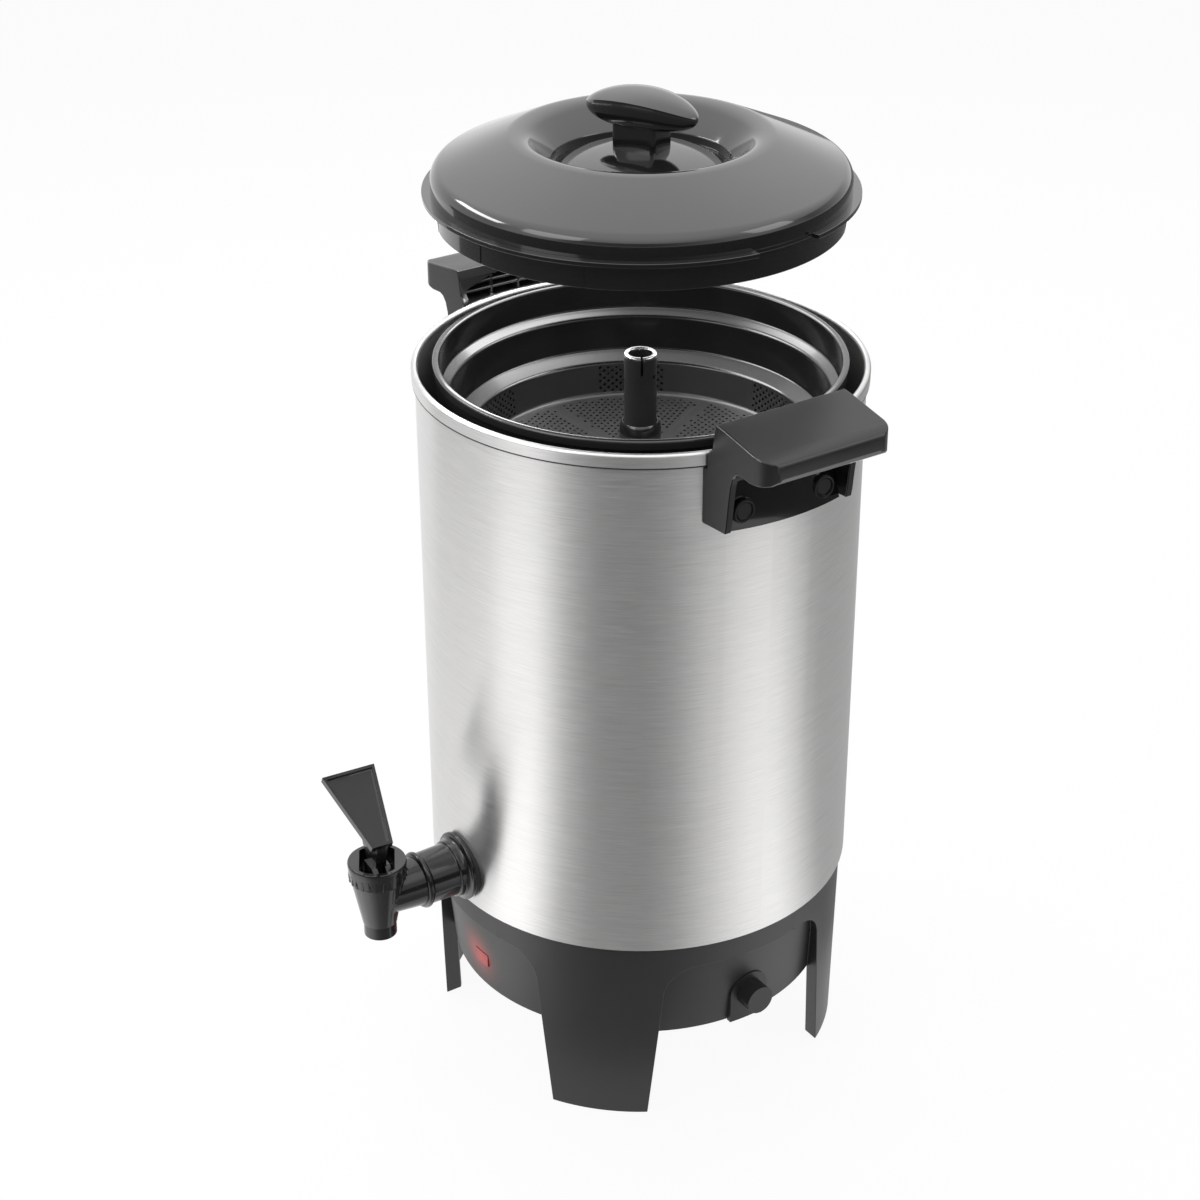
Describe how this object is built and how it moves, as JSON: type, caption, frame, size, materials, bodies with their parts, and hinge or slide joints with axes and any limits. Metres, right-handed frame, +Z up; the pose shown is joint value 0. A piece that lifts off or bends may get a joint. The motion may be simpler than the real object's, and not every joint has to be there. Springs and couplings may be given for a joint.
{
  "type": "coffee urn",
  "caption": "Electric percolator coffee urn: steel tank on a four-legged moulded base, side handles, lever tap, perforated basket and lift-off domed lid.",
  "frame": {"origin": "on the table, under the tank's axis", "axes": "+Z up along the tank's axis; -Y towards the tap; +X towards the handle above the cord entry"},
  "size_m": [0.275, 0.2589, 0.4688],
  "materials": {
    "brushed_shell": "brushed round the tank",
    "plain_steel": "mill finish",
    "bright_steel": "bright plated",
    "cast_aluminium": "satin",
    "element_steel": "heat dulled",
    "black_moulding": "fine matte grain",
    "black_satin": "satin",
    "black_gloss": "high gloss",
    "basket_plastic": "semi gloss",
    "ivory_moulding": "matte",
    "red_lens": "clear tinted",
    "lamp_glass": "clear",
    "seal_rubber": "matte",
    "seat_silicone": "matte"
  },
  "bodies": {
    "urn": {"tank_shell": "brushed_shell", "tank_floor": "plain_steel", "base": "black_moulding", "bottom_cover": "plain_steel", "cover_screws": "bright_steel", "heater_plate": "cast_aluminium", "heating_element": "element_steel", "thermostat": "ivory_moulding", "thermal_fuse": "ivory_moulding", "terminal_block": "ivory_moulding", "light_lens": "red_lens", "light_lamp": "lamp_glass", "cord_gland": "black_satin", "handle_left": "black_satin", "handle_right": "black_satin", "handle_screws": "black_satin", "handle_nuts": "bright_steel", "tap_gasket": "seal_rubber", "tap_shank": "black_satin", "tap_washer": "seal_rubber", "tap_nut": "black_satin", "tap_ring": "black_satin", "valve_body": "black_satin", "bonnet": "black_satin", "stem_spring": "bright_steel"},
    "stem": {"valve_stem": "black_moulding", "seat_cup": "seat_silicone"},
    "lever": {"lever": "black_satin", "lever_pin": "bright_steel"},
    "tube": {"perk_tube": "black_gloss", "tube_tip": "bright_steel", "tube_foot": "cast_aluminium"},
    "washer": {"pump_washer": "cast_aluminium"},
    "basket": {"basket": "basket_plastic"},
    "lid": {"lid_cover": "black_gloss", "lid_ring": "black_gloss", "lid_knob": "black_gloss", "knob_screw": "bright_steel"}
  },
  "joints": [
    {"name": "tube_lift", "type": "slide", "parent": "urn", "child": "tube", "axis": [0, 0, 1], "range_m": [0, 0.3]},
    {"name": "basket_lift", "type": "slide", "parent": "tube", "child": "basket", "axis": [0, 0, 1], "range_m": [0, 0.09]},
    {"name": "lid_travel", "type": "slide", "parent": "basket", "child": "lid", "axis": [0, 0, 1], "range_m": [-0.0754, 0.05]},
    {"name": "washer_hop", "type": "slide", "parent": "tube", "child": "washer", "axis": [0, 0, 1], "range_m": [0, 0.003]},
    {"name": "stem_lift", "type": "slide", "parent": "urn", "child": "stem", "axis": [0, 0, 1], "range_m": [0, 0.0035], "deforming": ["stem_spring"]},
    {"name": "lever_swing", "type": "hinge", "parent": "stem", "child": "lever", "pos_m": [0, -0.1438, 0.1292], "axis": [0.0872, 0.9962, 0], "range_deg": [0, 40], "stiffness_Nm_per_rad": 0.25, "springref_deg": -22.92}
  ],
  "couplings": [
    {"joint": "stem_lift", "follows": "lever_swing", "m_per_rad": 0.005013}
  ]
}
